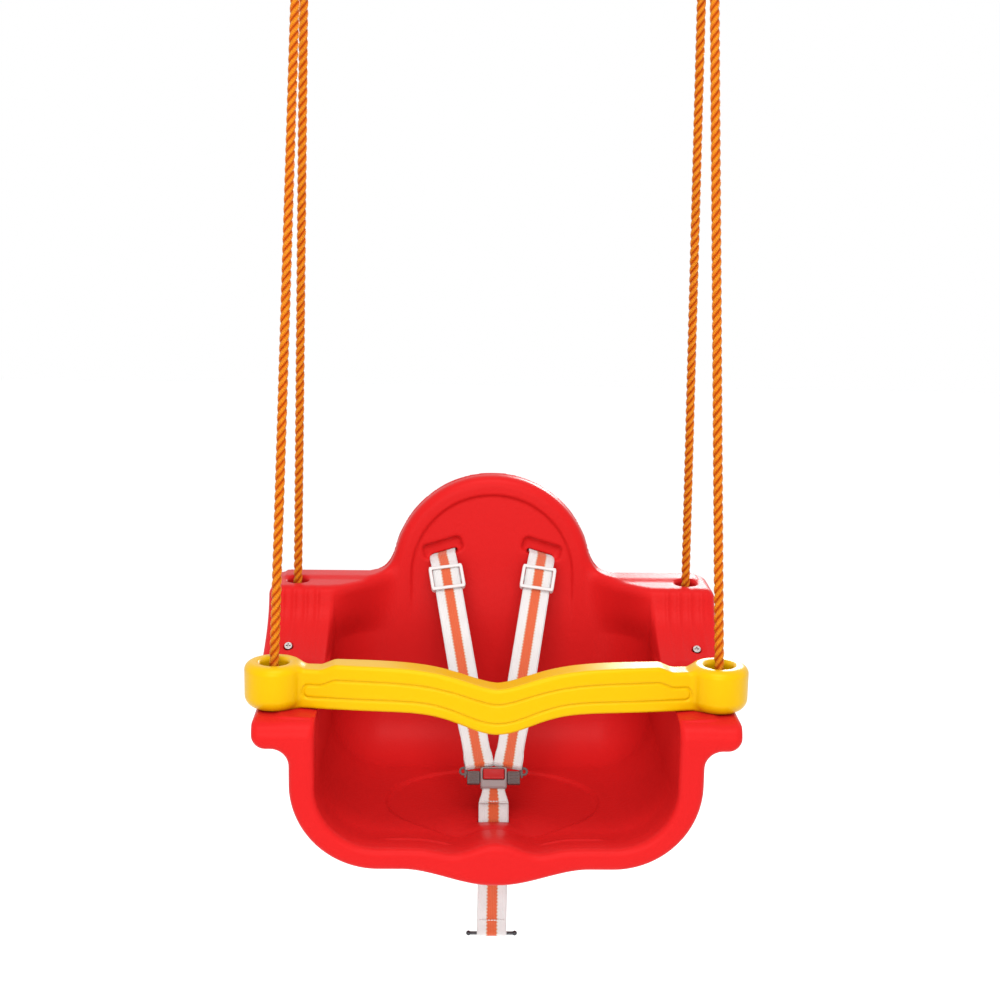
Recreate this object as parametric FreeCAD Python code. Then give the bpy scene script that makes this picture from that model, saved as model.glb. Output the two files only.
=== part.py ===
import FreeCAD
import Part
import math
import os

# Toddler swing seat on two ropes, in millimetres, +Z up, +X to the right of someone facing the seat.
# It is drawn in the seat's own frame: origin midway between the two front rope holes, level with the
# top of the guard bar's eyelets, -Y towards the front. Every solid is then moved so that the part's
# origin is midway between the two hanging rings, on the line that the seat swings about.

# Ropes and hanging rings
ROPE_D = 8.0
ROPE_ROUTE = [                                     # the right-hand rope
    FreeCAD.Vector(191.3, -8.7, -51.3),            # front foot, under the armrest
    FreeCAD.Vector(172.0, 118.0, 718.6),           # front corner of its turn over the thimble
    FreeCAD.Vector(172.0, 155.2, 718.6),           # rear corner
    FreeCAD.Vector(190.7, 210.0, -51.3)]           # rear foot, under the rear column
RING_X = 172.0
RING_Y = 136.6                                     # above the seat's centre of mass
RING_Z = 700.0                                     # height of the line that the seat swings about
RING_R = 24.0
RING_WIRE_R = 4.0
THIMBLE_GROOVE_R = 14.0
THIMBLE_W = 12.0
THIMBLE_BORE_R = 5.2
KNOT_R = 10.0
KNOT_H = 18.0
KNOT_FLAT = 1.2                                    # how much the knot is flattened against its washer
KNOT_TAIL = 4.0
WASHER_R = 12.0
WASHER_T = 2.0

# Seat shell
TUB_HALF_W = 175.0
WALL = 22.0
CORNER_R = 75.0
BACK_CORNER_R = 62.0                               # between floor and backrest, seen from the side
HOLLOW_CORNER_R = 45.0                             # between sides and backrest, seen from above
TUB_BOTTOM = -171.0
POMMEL_DROP = 13.0                                 # how far the middle of the front lip hangs lower
POMMEL_HALF_W = 75.0
FLOOR_Z = -158.0
ARM_TOP = -39.8                                    # the guard bar rests just above this
ARM_T = 24.5
ARM_HALF_W = 206.0
ARM_EDGE_R = 9.0
FRONT_Y = -45.0
BACK_IN_Y = 214.0                                  # inner face of the backrest, low down
BACK_LEAN = 0.06                                   # how far the backrest leans for each mm of height
BACK_T = 22.0
SHOULDER_Z = 18.0
COLUMN_OUT_X = 215.0
COLUMN_IN_X = 162.0
COLUMN_FRONT_Y = 178.0
COLUMN_SWEEP = 70.0                                # how far its front face runs forward on the armrest
DOME_R = 98.0
DOME_CENTRE_Z = 19.0
ROPE_BORE_R = 5.6
REAR_MOUTH_R = 10.5
COUNTERBORE_R = 13.0
COUNTERBORE_DEPTH = 15.0
SCREW_PLACE = FreeCAD.Vector(192.0, 140.0, -31.5)  # under the head of the right-hand column screw
SCREW_OUT = FreeCAD.Vector(0.0, -0.75, 0.66).normalize()
SCREW_SHANK_R = 1.8
SCREW_SHANK_L = 14.0
SCREW_HEAD_R = 3.5
SCREW_HEAD_H = 6.0

# Harness
STRAP_W = 26.0
STRAP_T = 1.6
SLOT_X = 49.0
SLOT_Z = 46.0
SLOT_TILT = 17.0
SLOT_HALF_W = 19.0
SLOT_UP = 5.0                                      # the slot's edges above and below its middle
SLOT_DOWN = 8.0
STRAP_DROP = 3.0                                   # the strap leaves by the lower part of the slot
STRAP_END = 22.0                                   # the length of strap that stays with its tongue
SLEEVE_R = 3.0
CROTCH_Y = 40.0
CROTCH_TAIL_Z = -268.0
CROTCH_TOP_W = 20.6                                # narrower where it enters the buckle
CROTCH_SLOT_HALF_W = 17.0
CROTCH_SLOT_HALF_D = 4.0
BUCKLE = FreeCAD.Vector(0.0, 60.0, -128.0)         # middle of the buckle's housing
BUCKLE_LEAN = 32.0                                 # its face looks up this far from level
BUCKLE_W = 24.0
BUCKLE_H = 20.0
BUCKLE_T = 11.0
BUCKLE_CORNER_R = 2.5
PASSAGE_LOW = -4.0                                 # the passage that the two blades slide in
PASSAGE_HIGH = 5.0
PASSAGE_HALF_T = 1.6
BUTTON_TRAVEL = 2.2
BUTTON_HALF_W = 9.0
BUTTON_LOW = -2.2
BUTTON_HIGH = 7.2
BUTTON_GAP = 0.4
STOP_BAR_R = 1.6
STOP_BAR_L = 42.0
CARRIER_R = 1.4                                    # the tongue's rod, in the strap's sewn sleeve
CARRIER_UP = 4.0                                   # height of that rod above the buckle
BLADE_HALF_T = 1.0
BLADE_IN = 7.5                                     # how far the blade reaches into the buckle
TONGUE_W = 12.0                                    # the grip block beside the buckle
TONGUE_HALF_H = 6.0
TONGUE_HALF_T = 3.2
EAR_R = 2.9
EAR_WIRE_R = 1.1
EAR_OUT = 15.4                                     # the waist strap's ear, from the buckle's side
EAR_UP = 6.0
RISER_OUT = 12.6                                   # the post that holds the tongue's rod
RISER_W = 2.4
RISER_HALF_T = 1.3
ROD_INNER_X = 0.8
STRAP_FOOT_X = 13.5
ADJUSTER_DOWN = 30.0                               # the adjuster's place, from the backrest slot
ADJUSTER_HALF_W = 16.6
ADJUSTER_HALF_H = 13.0
ADJUSTER_BAR = 3.2
ADJUSTER_T = 2.2

# Guard bar
EYELET_X = 190.0
EYELET_R = 25.5
EYELET_H = 39.5
EYELET_EDGE_R = 7.0
EYELET_BORE_R = 12.0
BAR_REACH = 176.0
BAR_T = 24.0
BAR_END_T = 21.0
BAR_BOW = 12.0
BAR_TOP = 1.0
BAR_LOW = -38.5
BAR_STEP = 5.0                                     # how far the top edge steps down towards the eyelets
BAR_STEP_X = (137.0, 152.0)
NOTCH_DEPTH = 18.0                                 # the V in the middle of the top edge
NOTCH_HALF_W = 43.0
NOTCH_POWER = 1.64
DIP_DEPTH = 18.7                                   # and of the lower edge
DIP_HALF_W = 40.0

PLAY = 0.35                                        # gap left between bodies that move on each other

SEAT_TO_ROW = FreeCAD.Vector(0.0, -RING_Y, -RING_Z)
X_AXIS = FreeCAD.Vector(1, 0, 0)
Y_AXIS = FreeCAD.Vector(0, 1, 0)
Z_AXIS = FreeCAD.Vector(0, 0, 1)


def vec(x, y, z):
    return FreeCAD.Vector(x, y, z)


def save(shape, node):
    moved = shape.copy()
    moved.translate(SEAT_TO_ROW)
    moved.exportStep("parts/" + node + ".step")
    print(node, "solids", len(moved.Solids), "volume", round(moved.Volume), "valid", moved.isValid())


def mirrored(shape):
    return shape.mirror(vec(0, 0, 0), X_AXIS)


def box(x0, x1, y0, y1, z0, z1):
    return Part.makeBox(x1 - x0, y1 - y0, z1 - z0, vec(x0, y0, z0))


def rod(start, end, radius):
    run = end - start
    return Part.makeCylinder(radius, run.Length, start, run)


def prism(edges, sweep):
    return Part.Face(Part.Wire(edges)).extrude(sweep)


def polygon(points):
    closed = points + [points[0]]
    return [Part.LineSegment(a, b).toShape() for a, b in zip(closed, closed[1:])]


def spline(points, start_tangent, end_tangent):
    curve = Part.BSplineCurve()
    curve.interpolate(points, InitialTangent=start_tangent, FinalTangent=end_tangent)
    return curve.toShape()


def in_frame(shape, place, x_dir, z_dir):
    """Turns a shape drawn about its own origin so that its X and Z lie along the two directions."""
    y_dir = z_dir.cross(x_dir)
    turn = FreeCAD.Matrix(
        x_dir.x, y_dir.x, z_dir.x, place.x,
        x_dir.y, y_dir.y, z_dir.y, place.y,
        x_dir.z, y_dir.z, z_dir.z, place.z,
        0, 0, 0, 1)
    return shape.transformed(turn)


# ---------------------------------------------------------------- seat shell

def tub_outline(inset, low, drop, top):
    """The closed U of the tub seen from the front: inset sides, and a middle that drops below the rest."""
    half = TUB_HALF_W - inset
    radius = CORNER_R - inset
    corner_x = half - radius
    corner_z = low + radius
    diag = radius / math.sqrt(2)
    edges = []
    for side in (1, -1):
        bottom = vec(side * corner_x, 0, low)
        middle = vec(0, 0, low - drop)
        flat = vec(side * POMMEL_HALF_W, 0, low)
        if drop:
            edges.append(spline([middle, flat], vec(side, 0, 0), vec(side, 0, 0)))
        else:
            edges.append(Part.LineSegment(middle, flat).toShape())
        edges.append(Part.LineSegment(flat, bottom).toShape())
        bend = vec(side * (corner_x + diag), 0, corner_z - diag)
        edges.append(Part.Arc(bottom, bend, vec(side * half, 0, corner_z)).toShape())
        edges.append(Part.LineSegment(vec(side * half, 0, corner_z), vec(side * half, 0, top)).toShape())
    edges.append(Part.LineSegment(vec(-half, 0, top), vec(half, 0, top)).toShape())
    return Part.__sortEdges__(edges)


def back_y(z, offset):
    return BACK_IN_Y + offset + BACK_LEAN * (z - TUB_BOTTOM)


def side_profile(offset, low, front, top):
    """The seat seen from its side: floor, rear corner and leaning back, up to a level top."""
    corner = BACK_CORNER_R
    end = vec(0, back_y(low + corner, offset), low + corner)
    start = vec(0, end.y - corner, low)
    bend = vec(0, end.y - corner * (1 - 1 / math.sqrt(2)), low + corner * (1 - 1 / math.sqrt(2)))
    high = vec(0, back_y(top, offset), top)
    return [
        Part.LineSegment(vec(0, front, low), start).toShape(),
        Part.Arc(start, bend, end).toShape(),
        Part.LineSegment(end, high).toShape(),
        Part.LineSegment(high, vec(0, front, top)).toShape(),
        Part.LineSegment(vec(0, front, top), vec(0, front, low)).toShape()]


def across(edges, half_width):
    solid = prism(edges, vec(2 * half_width, 0, 0))
    solid.translate(vec(-half_width, 0, 0))
    return solid


def tub():
    front_view = prism(tub_outline(0, TUB_BOTTOM, POMMEL_DROP, ARM_TOP), vec(0, 320, 0))
    front_view.translate(vec(0, FRONT_Y, 0))
    side_view = across(side_profile(BACK_T, TUB_BOTTOM - POMMEL_DROP, FRONT_Y, ARM_TOP), 260)
    return front_view.common(side_view)


def seat_hollow():
    """Where the child sits: the tub's inside, rounded at the back corners in plan."""
    front_view = prism(tub_outline(WALL, FLOOR_Z, 0, DOME_CENTRE_Z + DOME_R + 20), vec(0, 400, 0))
    front_view.translate(vec(0, FRONT_Y - 20, 0))
    side_view = across(side_profile(0, FLOOR_Z, FRONT_Y - 20, DOME_CENTRE_Z + DOME_R + 20), 260)
    hollow = front_view.common(side_view)
    uprights = [e for e in hollow.Edges
                if abs(e.BoundBox.ZLength) > 120 and e.BoundBox.YMin > 200 and e.BoundBox.XLength < 1]
    return hollow.makeFillet(HOLLOW_CORNER_R, uprights)


def backrest():
    """Dome and shoulders, a plate that leans back with the tub's rear wall."""
    dome = Part.makeCylinder(DOME_R, 400, vec(0, 0, DOME_CENTRE_Z), Y_AXIS)
    shoulders = box(-COLUMN_OUT_X, COLUMN_OUT_X, 0, 400, ARM_TOP - ARM_T, SHOULDER_Z)
    top = DOME_CENTRE_Z + DOME_R
    outer = across(side_profile(BACK_T, TUB_BOTTOM, 100, top), 260)
    inner = across(side_profile(0, TUB_BOTTOM, 90, top), 260)
    plate = dome.fuse(shoulders).common(outer.cut(inner))
    return plate


def armrest():
    arm = box(TUB_HALF_W - WALL, ARM_HALF_W, FRONT_Y, back_y(ARM_TOP, 0) + 10, ARM_TOP - ARM_T, ARM_TOP)
    outer_edges = [e for e in arm.Edges if e.BoundBox.XMin > ARM_HALF_W - 1 and e.BoundBox.YLength > 100]
    return arm.makeFillet(ARM_EDGE_R, outer_edges)


def column():
    """Rear upright: its front face sweeps down and forwards from the shoulder to the armrest."""
    rear_y = back_y(SHOULDER_Z, 0) + 5
    foot = vec(0, COLUMN_FRONT_Y - COLUMN_SWEEP, ARM_TOP)
    head = vec(0, COLUMN_FRONT_Y, SHOULDER_Z)
    edges = [
        spline([foot, vec(0, COLUMN_FRONT_Y - 22, ARM_TOP + 25), head], vec(0, 1, 0.15), vec(0, 0.4, 1)),
        Part.LineSegment(head, vec(0, rear_y, SHOULDER_Z)).toShape(),
        Part.LineSegment(vec(0, rear_y, SHOULDER_Z), vec(0, rear_y, ARM_TOP - ARM_T)).toShape(),
        Part.LineSegment(vec(0, rear_y, ARM_TOP - ARM_T), vec(0, foot.y, ARM_TOP - ARM_T)).toShape(),
        Part.LineSegment(vec(0, foot.y, ARM_TOP - ARM_T), foot).toShape()]
    solid = prism(edges, vec(COLUMN_OUT_X - COLUMN_IN_X, 0, 0))
    solid.translate(vec(COLUMN_IN_X, 0, 0))
    return solid


def rope_ends():
    """The right-hand rope's two feet, each with the direction that its rope rises in."""
    front_foot, front_corner, rear_corner, rear_foot = ROPE_ROUTE
    return [
        (front_foot, (front_corner - front_foot).normalize()),
        (rear_foot, (rear_corner - rear_foot).normalize())]


def rope_bores():
    """Holes for one rope: through the front of the armrest, and down through the rear column."""
    cutters = []
    for foot, up in rope_ends():
        cutters.append(Part.makeCylinder(ROPE_BORE_R, 160, foot - up * 30, up))
        low = vec(foot.x, foot.y, ARM_TOP - ARM_T - 40)
        cutters.append(Part.makeCylinder(COUNTERBORE_R, 40 + COUNTERBORE_DEPTH, low, Z_AXIS))
    rear_foot, up = rope_ends()[1]
    mouth = rear_foot + up * (SHOULDER_Z - 30 - rear_foot.z)
    cutters.append(Part.makeCylinder(REAR_MOUTH_R, 60, mouth, up))
    return cutters


def strap_slots():
    shoulder = box(-SLOT_HALF_W, SLOT_HALF_W, 180, 280, -SLOT_DOWN, SLOT_UP)
    shoulder.rotate(vec(0, 0, 0), Y_AXIS, -SLOT_TILT)
    shoulder.translate(vec(-SLOT_X, 0, SLOT_Z))
    crotch = box(-CROTCH_SLOT_HALF_W, CROTCH_SLOT_HALF_W, CROTCH_Y - CROTCH_SLOT_HALF_D,
                 CROTCH_Y + CROTCH_SLOT_HALF_D, TUB_BOTTOM - 60, FLOOR_Z + 40)
    return [shoulder, mirrored(shoulder), crotch]


def seat_shell():
    right = [armrest(), column()]
    solids = right + [mirrored(s) for s in right] + [backrest()]
    shell = tub()
    for solid in solids:
        shell = shell.fuse(solid)
    shell = shell.cut(seat_hollow())
    bores = rope_bores()
    for cutter in bores + [mirrored(c) for c in bores] + strap_slots():
        shell = shell.cut(cutter)
    for screw in (screw_solid(), mirrored(screw_solid())):
        shell = shell.cut(screw)
    return shell.removeSplitter()


def screw_solid():
    shank = rod(SCREW_PLACE - SCREW_OUT * SCREW_SHANK_L, SCREW_PLACE + SCREW_OUT, SCREW_SHANK_R)
    pan = rod(SCREW_PLACE, SCREW_PLACE + SCREW_OUT * SCREW_HEAD_H, SCREW_HEAD_R)
    return shank.fuse(pan)


def column_screw():
    """Pan-head screw with a cross recess."""
    blade = box(-2.2, 2.2, -0.5, 0.5, -1.5, 1.5)
    cross = blade.fuse(blade.rotated(vec(0, 0, 0), Z_AXIS, 90))
    top = SCREW_PLACE + SCREW_OUT * SCREW_HEAD_H
    return screw_solid().cut(in_frame(cross, top, X_AXIS, SCREW_OUT))


# ---------------------------------------------------------------- ropes and rings

def ring():
    turned = Part.makeTorus(RING_R, RING_WIRE_R, vec(0, 0, 0), Y_AXIS)
    turned.translate(vec(RING_X, RING_Y, RING_Z + RING_R))
    return turned


def thimble():
    """Grooved plastic saddle that the rope bends round and the ring's wire passes through."""
    half = THIMBLE_W / 2
    lip = ROPE_D / 2 + 0.2
    centre = THIMBLE_GROOVE_R + lip
    outline = [
        Part.LineSegment(vec(-half, THIMBLE_BORE_R, 0), vec(half, THIMBLE_BORE_R, 0)).toShape(),
        Part.LineSegment(vec(half, THIMBLE_BORE_R, 0), vec(half, centre, 0)).toShape(),
        Part.LineSegment(vec(half, centre, 0), vec(lip, centre, 0)).toShape(),
        Part.Arc(vec(lip, centre, 0), vec(0, centre - lip, 0), vec(-lip, centre, 0)).toShape(),
        Part.LineSegment(vec(-lip, centre, 0), vec(-half, centre, 0)).toShape(),
        Part.LineSegment(vec(-half, centre, 0), vec(-half, THIMBLE_BORE_R, 0)).toShape()]
    face = Part.Face(Part.Wire(outline))
    wheel = face.revolve(vec(0, 0, 0), X_AXIS, 360)
    wheel.translate(vec(RING_X, RING_Y, RING_Z))
    return wheel


def corner_arc(before, corner, after, reach):
    """The arc that touches both legs of a corner at the same reach from it."""
    back = (before - corner).normalize()
    ahead = (after - corner).normalize()
    half_angle = back.getAngle(ahead) / 2
    bisector = (back + ahead).normalize()
    middle = corner + bisector * (reach / math.cos(half_angle) - reach * math.tan(half_angle))
    return Part.Arc(corner + back * reach, middle, corner + ahead * reach).toShape()


def rope():
    front_foot, front_corner, rear_corner, rear_foot = ROPE_ROUTE
    reach = (rear_corner - front_corner).Length / 2
    bends = [
        corner_arc(front_foot, front_corner, rear_corner, reach),
        corner_arc(front_corner, rear_corner, rear_foot, reach)]
    start = bends[0].Vertexes[0].Point
    finish = bends[1].Vertexes[1].Point
    solids = [rod(front_foot, start, ROPE_D / 2), rod(rear_foot, finish, ROPE_D / 2)]
    length = (start - front_foot).Length + (finish - rear_foot).Length
    for bend in bends:
        mouth = bend.Vertexes[0].Point
        outline = Part.Circle(mouth, bend.tangentAt(bend.FirstParameter), ROPE_D / 2).toShape()
        turn = math.degrees(bend.Length / bend.Curve.Radius)
        face = Part.Face(Part.Wire([outline]))
        solids.append(face.revolve(bend.Curve.Center, bend.Curve.Axis, turn))
        length += bend.Length
    solid = solids[0].multiFuse(solids[1:]).removeSplitter()
    print("rope length", round(length, 1), "bend radii", [round(b.Curve.Radius, 1) for b in bends],
          "volume ratio", round(solid.Volume / (math.pi * (ROPE_D / 2) ** 2 * length), 4))
    return solid


def knots():
    """A stopper knot under each of the rope's two feet."""
    solids = []
    for foot, up in rope_ends():
        ball = Part.makeSphere(KNOT_R, vec(0, 0, 0))
        squash = FreeCAD.Matrix()
        squash.scale(1, 1, KNOT_H / (2 * KNOT_R))
        ball = ball.transformGeometry(squash)
        flat = KNOT_H / 2 - KNOT_FLAT
        trimmed = ball.common(box(-2 * KNOT_R, 2 * KNOT_R, -2 * KNOT_R, 2 * KNOT_R, -KNOT_H, flat))
        tail = rod(vec(0, 0, -KNOT_H / 2 - KNOT_TAIL), vec(0, 0, 0), ROPE_D / 2)
        middle = foot - up * ((flat + PLAY) / up.z)
        solids.append(in_frame(trimmed.fuse(tail), middle, X_AXIS, Z_AXIS))
    return solids


def washers():
    solids = []
    for foot, up in rope_ends():
        disc = Part.makeCylinder(WASHER_R, WASHER_T, foot, Z_AXIS)
        solids.append(disc.cut(rod(foot - up * 10, foot + up * 10, ROPE_D / 2 + 0.6)))
    return solids


# ---------------------------------------------------------------- guard bar

def bar_front_view():
    """The bar's beam seen from the front: stepped shoulders, and a shallow V in the middle."""
    middle = [0, 6, 13, 21, 30, 40, 52, 66, 84, 106]
    top = [(x, BAR_TOP - NOTCH_DEPTH * math.exp(-(x / NOTCH_HALF_W) ** NOTCH_POWER)) for x in middle]
    low = [(x, BAR_LOW - DIP_DEPTH * math.exp(-(x / DIP_HALF_W) ** 2)) for x in middle]
    step_start, step_end = BAR_STEP_X
    shoulder = [(step_start, BAR_TOP), (step_end, BAR_TOP - BAR_STEP), (BAR_REACH, BAR_TOP - BAR_STEP)]
    right = top + shoulder + [(BAR_REACH, BAR_LOW)] + low[::-1]
    left = [(-x, z) for x, z in reversed(right[1:-1])]
    return polygon([vec(x, 0, z) for x, z in right + left])


def bar_plan():
    """The bar seen from above: a beam that bows forwards."""
    rear_y = BAR_T / 2
    front_y = rear_y - BAR_END_T
    front = Part.Arc(vec(-BAR_REACH, front_y, 0), vec(0, -rear_y - BAR_BOW, 0), vec(BAR_REACH, front_y, 0))
    rear = Part.Arc(vec(BAR_REACH, rear_y, 0), vec(0, rear_y - BAR_BOW, 0), vec(-BAR_REACH, rear_y, 0))
    edges = [front.toShape(), rear.toShape()]
    for side in (-1, 1):
        end_x = side * BAR_REACH
        edges.append(Part.LineSegment(vec(end_x, rear_y, 0), vec(end_x, front_y, 0)).toShape())
    return Part.__sortEdges__(edges)


def guard_bar():
    front_view = prism(bar_front_view(), vec(0, 120, 0))
    front_view.translate(vec(0, -60, 0))
    plan = prism(bar_plan(), vec(0, 0, 120))
    plan.translate(vec(0, 0, -80))
    bar = front_view.common(plan)
    for side in (1, -1):
        eyelet = Part.makeCylinder(EYELET_R, EYELET_H, vec(side * EYELET_X, 0, -EYELET_H), Z_AXIS)
        rims = eyelet.Edges[:1] + eyelet.Edges[2:3]
        bar = bar.fuse(eyelet.makeFillet(EYELET_EDGE_R, rims))
    for side in (1, -1):
        low = vec(side * EYELET_X, 0, -EYELET_H - 10)
        bar = bar.cut(Part.makeCylinder(EYELET_BORE_R, EYELET_H + 40, low, Z_AXIS))
    return bar.removeSplitter()


# ---------------------------------------------------------------- harness

def buckle_axes():
    """The buckle's own X, up along its face, and out of its face."""
    lean = math.radians(BUCKLE_LEAN)
    out = vec(0, -math.cos(lean), math.sin(lean))
    up = vec(0, math.sin(lean), math.cos(lean))
    return X_AXIS, up, out


def at_buckle(shape):
    """Places a shape drawn with X across, Y up and Z out of the buckle's face."""
    x_dir, _, out = buckle_axes()
    return in_frame(shape, BUCKLE, x_dir, out)


def strap_line(side):
    """A shoulder strap's straight run: from its backrest slot to its tongue's rod."""
    _, up, _ = buckle_axes()
    head = vec(side * SLOT_X, back_y(SLOT_Z, -4), SLOT_Z - STRAP_DROP)
    foot = BUCKLE + up * (BUCKLE_H / 2 + CARRIER_UP) + vec(side * STRAP_FOOT_X, 0, 0)
    return head, foot


def strap_frame(start, end):
    """Across the strap, and out of its face towards the front."""
    along = (end - start).normalize()
    across_dir = (X_AXIS - along * X_AXIS.dot(along)).normalize()
    out = along.cross(across_dir).normalize()
    if out.y > 0:
        out = out * -1
    return across_dir, out, along


def on_strap(shape, place, start, end):
    """Places a shape drawn with X across the strap, -Y out of its face and Z along it."""
    across_dir, out, along = strap_frame(start, end)
    turn = FreeCAD.Matrix(
        across_dir.x, -out.x, along.x, place.x,
        across_dir.y, -out.y, along.y, place.y,
        across_dir.z, -out.z, along.z, place.z,
        0, 0, 0, 1)
    return shape.transformed(turn)


def ribbon(start, end, width):
    slab = box(-width / 2, width / 2, -STRAP_T / 2, STRAP_T / 2, 0, (end - start).Length)
    return on_strap(slab, start, start, end)


def shoulder_strap(side):
    head, foot = strap_line(side)
    along = (foot - head).normalize()
    down = ribbon(head, foot - along * STRAP_END, STRAP_W)
    back = vec(head.x, back_y(SLOT_Z, BACK_T) + STOP_BAR_R, head.z)
    through = box(-STRAP_W / 2, STRAP_W / 2, 0, back.y - head.y, -STRAP_T / 2, STRAP_T / 2)
    through.translate(head)
    return down.fuse(through).removeSplitter()


def strap_end(side):
    """The last of a shoulder strap, sewn round its tongue's rod."""
    head, foot = strap_line(side)
    along = (foot - head).normalize()
    width = STRAP_W - 4
    half = X_AXIS * (width / 2)
    flat = ribbon(foot - along * (STRAP_END - PLAY), foot - along * 1.2, width)
    sleeve = rod(foot - half, foot + half, SLEEVE_R)
    hole = rod(foot - X_AXIS * 20, foot + X_AXIS * 20, CARRIER_R + 0.3)
    return flat.fuse(sleeve).cut(hole)


def strap_stop(side):
    """Steel rod behind the backrest that the strap's sewn end loops round."""
    head, _ = strap_line(side)
    centre = vec(head.x, back_y(SLOT_Z, BACK_T) + 2 * STOP_BAR_R + 0.6, head.z)
    half = X_AXIS * (STOP_BAR_L / 2)
    return rod(centre - half, centre + half, STOP_BAR_R)


def adjuster(side):
    """Three-bar slide: two bars cross in front of the strap and one behind it."""
    head, foot = strap_line(side)
    along = (foot - head).normalize()
    near = STRAP_T / 2 + PLAY
    far = near + ADJUSTER_T
    rail = STRAP_W / 2 + 0.6
    solids = [box(-ADJUSTER_HALF_W, ADJUSTER_HALF_W, near, far, -ADJUSTER_BAR * 0.7, ADJUSTER_BAR * 0.7)]
    for end in (-1, 1):
        inner, outer = sorted((end * rail, end * ADJUSTER_HALF_W))
        solids.append(box(inner, outer, -far, far, -ADJUSTER_HALF_H, ADJUSTER_HALF_H))
        low, high = sorted((end * ADJUSTER_HALF_H, end * (ADJUSTER_HALF_H - ADJUSTER_BAR)))
        solids.append(box(-ADJUSTER_HALF_W, ADJUSTER_HALF_W, -far, -near, low, high))
    frame = solids[0].multiFuse(solids[1:]).removeSplitter()
    return on_strap(frame, head + along * ADJUSTER_DOWN, head, foot)


def tongue(side):
    """Latch tongue: blade, grip block, ear for a waist strap, and a post with the rod for its strap."""
    inner = BUCKLE_W / 2
    rod_up = BUCKLE_H / 2 + CARRIER_UP
    post_x = inner + RISER_OUT
    half_t = RISER_HALF_T
    blade = box(inner - BLADE_IN, inner + 2, -3.2, 4.2, -BLADE_HALF_T, BLADE_HALF_T)
    high, thick = TONGUE_HALF_H, TONGUE_HALF_T
    block = box(inner + PLAY, inner + TONGUE_W, -high, high, -thick, thick)
    ear = Part.makeTorus(EAR_R, EAR_WIRE_R, vec(inner + EAR_OUT, EAR_UP, 0), Z_AXIS)
    post = box(post_x, post_x + RISER_W, 0, rod_up + CARRIER_R, -half_t, half_t)
    link = box(inner + TONGUE_W - 1, post_x + 1, 0, EAR_UP, -half_t, half_t)
    carrier = rod(vec(ROD_INNER_X, rod_up, 0), vec(post_x + RISER_W / 2, rod_up, 0), CARRIER_R)
    solid = blade.multiFuse([block, ear, post, link, carrier]).removeSplitter()
    placed = at_buckle(solid)
    return placed if side > 0 else mirrored(placed)


def buckle_halves():
    """Front and back shells, with a window for the button and a passage for the two blades."""
    w, h, t = BUCKLE_W / 2, BUCKLE_H / 2, BUCKLE_T / 2
    body = box(-w, w, -h, h, -t, t)
    edges = [e for e in body.Edges if e.BoundBox.ZLength > BUCKLE_T / 2]
    body = body.makeFillet(BUCKLE_CORNER_R, edges)
    passage = box(-w - 1, w + 1, PASSAGE_LOW, PASSAGE_HIGH, -PASSAGE_HALF_T, PASSAGE_HALF_T)
    room = box(-w + 4.5, w - 4.5, PASSAGE_LOW, 7.0, -4.2, 1.7)
    reach = BUTTON_HALF_W + BUTTON_GAP
    window = box(-reach, reach, BUTTON_LOW - BUTTON_GAP, BUTTON_HIGH + BUTTON_GAP, 1.0, t + 1)
    strap_mouth = box(-10.5, 10.5, -h - 1, -h + 3.0, -1.2, 1.2)
    for cutter in (passage, room, window, strap_mouth):
        body = body.cut(cutter)
    front = body.common(box(-w, w, -h, h, 0, t))
    back = body.common(box(-w, w, -h, h, -t, 0))
    return at_buckle(front), at_buckle(back)


def buckle_button():
    low_z = 1.4 + BUTTON_TRAVEL
    cap = box(-BUTTON_HALF_W, BUTTON_HALF_W, BUTTON_LOW, BUTTON_HIGH, low_z, BUCKLE_T / 2 + 1.2)
    edges = [e for e in cap.Edges if e.BoundBox.ZLength > 3]
    return at_buckle(cap.makeFillet(1.6, edges))


def buckle_spring():
    """Leaf spring under the button, on the back shell's floor."""
    leaf = box(-6, 6, -3.5, 6.5, -4.1, -3.3)
    return at_buckle(leaf)


def crotch_strap():
    """From the buckle, down through the slot in the floor, to its stop bar under the seat."""
    _, up, _ = buckle_axes()
    head = BUCKLE - up * (BUCKLE_H / 2 - 2.6)
    knee = vec(0, CROTCH_Y + 4, FLOOR_Z + 6)
    in_slot = vec(0, CROTCH_Y, FLOOR_Z + 3)
    half_w = STRAP_W / 2
    half_t = STRAP_T / 2
    hanging = box(-half_w, half_w, CROTCH_Y - half_t, CROTCH_Y + half_t, CROTCH_TAIL_Z, in_slot.z + 1)
    sloping = ribbon(head, knee, CROTCH_TOP_W)
    return sloping.multiFuse([ribbon(in_slot, knee, CROTCH_TOP_W), hanging]).removeSplitter()


def crotch_stop():
    centre = vec(0, CROTCH_Y, CROTCH_TAIL_Z - STOP_BAR_R - 0.1)
    half = X_AXIS * (STOP_BAR_L / 2)
    bar = rod(centre - half, centre + half, STOP_BAR_R)
    ends = [Part.makeSphere(STOP_BAR_R + 0.7, centre + half * side) for side in (-1, 1)]
    return bar.multiFuse(ends)


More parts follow.
